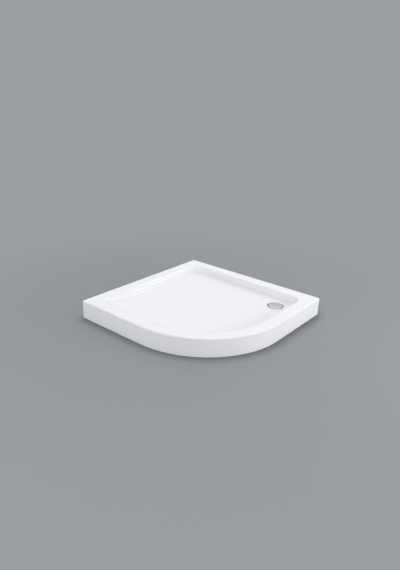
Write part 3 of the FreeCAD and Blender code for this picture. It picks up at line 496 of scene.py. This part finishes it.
cover = {"dome": 1.2, "domeRings": (1, 8, 16, 24, 30, 34), "edge": 2.5, "edgeRound": 0.9, "edgeSteps": 5,
         "stem": 4, "stemFillet": 2, "filletSteps": 4, "ribs": 3, "ribWidth": 3, "ribFrom": 7.5, "ribTo": 27,
         "ribRound": 0.5, "sunk": 0.2, "steps": 96}


def addBlock(bm, corners, low, high, taper=0.0):
    # upright block on a plan of four corners, its lower end drawn in by taper
    middle = sum(corners, Vector((0, 0))) / len(corners)
    drawn = [c + (middle - c).normalized() * taper for c in corners]
    rows = [addRow(bm, [(*c, low) for c in drawn]), addRow(bm, [(*c, low + taper) for c in corners]),
            addRow(bm, [(*c, high) for c in corners])]
    joinRows(bm, rows)
    bm.faces.new(rows[0])
    bm.faces.new(rows[-1])


def makeWasteCover():
    bm = bmesh.new()
    low, high = coverLow / mm, coverHigh / mm
    radius = (high.x - low.x) / 2
    under = high.z - cover["dome"] - cover["edge"]
    turnedEdge = cover["edgeRound"]
    profile = [(r, high.z - cover["dome"] * (r / radius) ** 2)
               for r in (*cover["domeRings"], radius - turnedEdge)]
    rim = profile[-1][1]
    for i in range(1, cover["edgeSteps"] + 1):
        tilt = math.pi / 2 * i / cover["edgeSteps"]
        profile.append((radius - turnedEdge * (1 - math.sin(tilt)), rim - turnedEdge * (1 - math.cos(tilt))))
    profile += [(radius, under + turnedEdge / 2), (radius - turnedEdge / 2, under)]
    for i in range(cover["filletSteps"] + 1):
        tilt = math.pi / 2 * i / cover["filletSteps"]
        profile.append((cover["stem"] + cover["stemFillet"] * (1 - math.sin(tilt)),
                        under - cover["stemFillet"] * (1 - math.cos(tilt))))
    profile += [(cover["stem"], low.z + turnedEdge), (cover["stem"] - turnedEdge, low.z)]
    rows = turnedRows(bm, profile, drainMm, cover["steps"])
    joinRows(bm, rows)
    bm.faces.new(rows[0])
    bm.faces.new(rows[-1])
    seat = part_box("waste_flange")[1].z / mm
    for i in range(cover["ribs"]):
        a = 2 * math.pi * i / cover["ribs"]
        along = Vector((math.cos(a), math.sin(a)))
        across = Vector((-along.y, along.x)) * cover["ribWidth"] / 2
        plan = [along * cover["ribFrom"] - across, along * cover["ribTo"] - across,
                along * cover["ribTo"] + across, along * cover["ribFrom"] + across]
        addBlock(bm, [drainMm.xy + c for c in plan], seat, under + cover["sunk"], cover["ribRound"])
    print("waste cover:", len(bm.verts), "points")
    finishPiece(bm, "wasteCoverDisc", "satin_chrome", "cover", "waste_cover")


makeWasteCover()


# screw feet: rolled thread on the stud, chamfered hexagons, and a ribbed pad under each

foot = {"thread": 5, "core": 4.3, "pitch": 1.5, "crest": 0.25, "rootSunk": 0.1, "flankShare": 0.46,
        "threadSteps": 24, "threadEase": 0.6, "collar": 15, "collarHeight": 4, "journal": 4, "nut": 17,
        "nutBore": 5.1, "faceRound": 0.97, "chamfer": 30, "hexSteps": 48, "padEdge": 4, "padBevel": 1.3,
        "padHub": 12, "padBore": 4.05, "padBoreDepth": 6.3, "webLow": 2.6, "webHigh": 4.4, "padRibs": 8,
        "padRibWidth": 2.4, "padRibTop": 0.8, "padSteps": 64, "round": 0.5}


def hexRows(bm, axis, flats, low, high):
    # a hexagon whose corners are turned off by a cone at both faces
    reach = flats / math.sqrt(3)
    slope = math.tan(math.radians(foot["chamfer"]))
    rise = (reach - flats / 2 * foot["faceRound"]) * slope
    levels = [0, rise / 3, 2 * rise / 3, rise]
    heights = [low + h for h in levels] + [high - h for h in reversed(levels)]
    rows = []
    for z, h in zip(heights, levels + levels[::-1]):
        cone = flats / 2 * foot["faceRound"] + h / slope
        points = []
        for i in range(foot["hexSteps"]):
            a = 2 * math.pi * i / foot["hexSteps"]
            side = flats / 2 / math.cos((a + math.pi / 6) % (math.pi / 3) - math.pi / 6)
            r = min(side, cone)
            points.append((axis.x + r * math.cos(a), axis.y + r * math.sin(a), z))
        rows.append(addRow(bm, points))
    joinRows(bm, rows)
    return rows


def addThread(bm, axis, low, high):
    # one ridge wound round the core, easing out of it at both ends
    turns = (high - low) / foot["pitch"]
    count = int(turns * foot["threadSteps"])
    ease = foot["threadEase"] * foot["threadSteps"]
    root = foot["core"] - foot["rootSunk"]
    wide = foot["pitch"] * foot["flankShare"]
    sections = []
    for i in range(count + 1):
        a = 2 * math.pi * i / foot["threadSteps"]
        z = low + foot["pitch"] * i / foot["threadSteps"]
        proud = min(1, i / ease, (count - i) / ease)
        crest = foot["core"] + (foot["thread"] - foot["core"]) * proud
        section = [(root, -wide), (crest, -foot["crest"] / 2), (crest, foot["crest"] / 2), (root, wide)]
        sections.append(addRow(bm, [(axis.x + r * math.cos(a), axis.y + r * math.sin(a), z + dz)
                                    for r, dz in section]))
    joinRows(bm, sections)
    bm.faces.new(sections[0])
    bm.faces.new(sections[-1])


def makeFootStud(name):
    low, high = (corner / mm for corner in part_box(f"foot_stud_{name}"))
    axis = (low + high) / 2
    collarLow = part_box(f"foot_pad_{name}")[1].z / mm
    bm = bmesh.new()
    core = [(foot["journal"] - foot["round"], low.z), (foot["journal"], low.z + foot["round"]),
            (foot["journal"], collarLow), (foot["core"], collarLow), (foot["core"], high.z - foot["round"]),
            (foot["core"] - foot["round"], high.z)]
    rows = turnedRows(bm, core, axis, foot["threadSteps"])
    joinRows(bm, rows)
    bm.faces.new(rows[0])
    bm.faces.new(rows[-1])
    hexagon = hexRows(bm, axis, foot["collar"], collarLow, collarLow + foot["collarHeight"])
    bm.faces.new(hexagon[0])
    bm.faces.new(hexagon[-1])
    addThread(bm, axis, collarLow + foot["collarHeight"] + foot["pitch"] / 2, high.z - foot["pitch"])
    finishPiece(bm, f"footStud_{name}", "zinc_steel", f"stud_{name}", f"foot_stud_{name}")


def makeLockNut(name):
    low, high = (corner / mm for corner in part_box(f"foot_lock_nut_{name}"))
    axis = (low + high) / 2
    bm = bmesh.new()
    rows = hexRows(bm, axis, foot["nut"], low.z, high.z)
    bore = turnedRows(bm, [(foot["nutBore"], high.z), (foot["nutBore"], low.z)], axis, foot["hexSteps"])
    joinRows(bm, [rows[-1], *bore, rows[0]])
    finishPiece(bm, f"footLockNut_{name}", "zinc_steel", "tray", f"foot_lock_nut_{name}")


def makeFootPad(name):
    low, high = (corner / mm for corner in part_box(f"foot_pad_{name}"))
    axis = (low + high) / 2
    edge, hub, small = (high.x - low.x) / 2, foot["padHub"], foot["round"]
    bm = bmesh.new()
    profile = [(edge - foot["padBevel"], low.z), (edge, low.z + foot["padBevel"]),
               (edge, foot["padEdge"] - small), (edge - small, foot["padEdge"]),
               (edge - 3 * small, foot["padEdge"]), (edge - 5 * small, foot["webLow"]),
               (hub + 2 * small, foot["webHigh"]), (hub, foot["webHigh"] + 2 * small),
               (hub, high.z - small), (hub - small, high.z), (foot["padBore"], high.z),
               (foot["padBore"], high.z - foot["padBoreDepth"])]
    rows = turnedRows(bm, profile, axis, foot["padSteps"])
    joinRows(bm, rows)
    bm.faces.new(rows[0])
    bm.faces.new(rows[-1])
    # webs between hub and edge, following the slope of the pad
    for i in range(foot["padRibs"]):
        a = 2 * math.pi * i / foot["padRibs"]
        along = Vector((math.cos(a), math.sin(a)))
        across = Vector((-along.y, along.x)) * foot["padRibWidth"] / 2
        ends = []
        for r, top in ((hub - 2 * small, high.z - small), (edge - 2 * small, foot["padEdge"])):
            webFoot, slim = foot["webLow"] - small, foot["padRibTop"]
            ends.append(addRow(bm, [(*(axis.xy + along * r + across * side), z) for side, z in
                                    ((-1, webFoot), (1, webFoot), (slim, top), (-slim, top))]))
        joinRows(bm, ends)
        bm.faces.new(ends[0])
        bm.faces.new(ends[-1])
    finishPiece(bm, f"footPad_{name}", "black_nylon", f"pad_{name}", f"foot_pad_{name}")


for footName in footNames:
    makeFootStud(footName)
    makeLockNut(footName)
    makeFootPad(footName)
print("feet:", len(footNames))


# camera, from where the photograph was taken

photoView = {"focalPx": 502.88, "placeMm": (1521.2, -1922.9, 1179.1), "yaw": 0.6786, "pitch": 0.3864,
             "roll": 0.0327, "imagePx": (400, 570), "sensorMm": 36}


def makeCamera():
    yaw, pitch, roll = (photoView[k] for k in ("yaw", "pitch", "roll"))
    look = Vector((-math.sin(yaw) * math.cos(pitch), math.cos(yaw) * math.cos(pitch), -math.sin(pitch)))
    level = Vector((math.cos(yaw), math.sin(yaw), 0))
    up = level.cross(look)
    right = math.cos(roll) * level + math.sin(roll) * up
    up = right.cross(look)
    data = bpy.data.cameras.new("photoCamera")
    data.sensor_width = photoView["sensorMm"]
    data.lens = photoView["focalPx"] * photoView["sensorMm"] / max(photoView["imagePx"])
    camera = bpy.data.objects.new("photoCamera", data)
    bpy.context.scene.collection.objects.link(camera)
    turn = Matrix((right, up, -look)).transposed().to_4x4()
    camera.matrix_world = Matrix.Translation(Vector(photoView["placeMm"]) * mm) @ turn
    bpy.context.scene.camera = camera


makeCamera()
print("camera placed")


# studio, in metres and watts

# the nook colour and reach set a painted shadow, darkened into the floor's colour along the foot of the tray
studio = {"floorColour": "#989BA0", "paintedShadeColour": "#101112", "paintedShadeReach": 0.065, "farColour": "#9B9EA3",
          "floorGlow": 0.5, "fadeFrom": 0.75, "floorRadius": 1.9, "floorSides": 128, "floorDrop": 0.0002,
          "domeStrength": 0.45, "aimHeight": 0.05}
# key and side lamps are kept out of the gloss, where they would burn white patches
softboxes = {
    "backSoftbox": {"place": (-2.4, 3.2, 2.6), "size": (5.0, 4.4), "power": 56.0, "gloss": True},
    "keySoftbox": {"place": (1.2, 3.6, 1.2), "size": (2.4, 1.6), "power": 18.0, "gloss": False},
    "sideSoftbox": {"place": (2.4, 0.65, 0.65), "size": (1.2, 0.8), "power": 25.0, "gloss": False},
    "frontSoftbox": {"place": (-0.9, -3.5, 2.6), "size": (2.6, 1.8), "power": 43.0, "gloss": True},
    "cornerSoftbox": {"place": (1.2, -3.5, 2.4), "size": (2.6, 1.8), "power": 36.0, "gloss": True},
    "rollStrip": {"place": (-0.95, 2.7, 2.95), "size": (2.1, 0.6), "power": 16.0, "gloss": True},
    "wallStrip": {"place": (2.6, 2.6, 0.45), "size": (1.8, 0.4), "power": 6.0, "gloss": True},
}


def seenRays(mat):
    # one for what the eye sees, straight or in gloss, and zero for the light that falls on things
    ray = addNode(mat, "ShaderNodeLightPath")
    seen = addNode(mat, "ShaderNodeMath", {0: (ray, "Is Camera Ray"), 1: (ray, "Is Glossy Ray")},
                   operation="MAXIMUM")
    return addNode(mat, "ShaderNodeMath", {0: (seen, 0), 1: (ray, "Is Transmission Ray")},
                   operation="MAXIMUM")


def makeFloor():
    bpy.ops.mesh.primitive_circle_add(vertices=studio["floorSides"], radius=studio["floorRadius"],
                                      fill_type="NGON", location=(0, 0, -studio["floorDrop"]))
    floor = bpy.context.object
    floor.name = "studioFloor"
    mat = newMaterial("matPaperFloor")
    place = addNode(mat, "ShaderNodeTexCoord")
    away = addNode(mat, "ShaderNodeVectorMath", {0: (place, "Object")}, operation="LENGTH")
    fade = addNode(mat, "ShaderNodeMapRange", {"Value": (away, "Value")}, interpolation_type="SMOOTHSTEP",
                   From_Min=studio["fadeFrom"], From_Max=studio["floorRadius"])
    # painted shadow: ambient occlusion darkens the paper's colour in the nook along the foot of the skirt,
    # standing in for its contact shadow
    paintedShade = addNode(mat, "ShaderNodeAmbientOcclusion", Distance=studio["paintedShadeReach"])
    tint = addNode(mat, "ShaderNodeMixRGB", {"Fac": (paintedShade, "AO")},
                   Color1=toLinear(studio["paintedShadeColour"]), Color2=toLinear(studio["floorColour"]))
    matt = addNode(mat, "ShaderNodeBsdfDiffuse", {"Color": (tint, 0)})
    # the eye sees part of the paper at its own colour, with the painted shadow in it, so the backdrop stays
    # even
    even = addNode(mat, "ShaderNodeEmission", {"Color": (tint, 0)})
    share = addNode(mat, "ShaderNodeMath", {0: (seenRays(mat), 0)}, operation="MULTIPLY")
    share.inputs[1].default_value = studio["floorGlow"]
    paper = addNode(mat, "ShaderNodeMixShader", {0: (share, 0), 1: (matt, 0), 2: (even, 0)})
    gone = addNode(mat, "ShaderNodeBsdfTransparent")
    shader = addNode(mat, "ShaderNodeMixShader", {0: (fade, 0), 1: (paper, 0), 2: (gone, 0)})
    floor.data.materials.append(finishMaterial(mat, shader))


def makeWorld():
    world = bpy.data.worlds.new("studioDome")
    bpy.context.scene.world = world
    world.use_nodes = True
    world.node_tree.nodes.clear()
    seen = addNode(world, "ShaderNodeBackground")
    seen.inputs[0].default_value = toLinear(studio["farColour"])
    dome = addNode(world, "ShaderNodeBackground", Strength=studio["domeStrength"])
    dome.inputs[0].default_value = (1, 1, 1, 1)
    mix = addNode(world, "ShaderNodeMixShader", {0: (seenRays(world), 0), 1: (dome, 0), 2: (seen, 0)})
    addNode(world, "ShaderNodeOutputWorld", {"Surface": (mix, 0)})


def makeSoftbox(name, box):
    data = bpy.data.lights.new(name, "AREA")
    data.shape = "RECTANGLE"
    data.size, data.size_y = box["size"]
    data.energy = box["power"]
    lamp = bpy.data.objects.new(name, data)
    lamp.visible_camera = False
    lamp.visible_glossy = box["gloss"]
    bpy.context.scene.collection.objects.link(lamp)
    lamp.location = box["place"]
    aim = Vector((0, 0, studio["aimHeight"])) - lamp.location
    lamp.rotation_euler = aim.to_track_quat("-Z", "Y").to_euler()


makeFloor()
makeWorld()
for lampName, lampBox in softboxes.items():
    makeSoftbox(lampName, lampBox)
bpy.context.scene.view_settings.view_transform = "Standard"
print("studio ready")
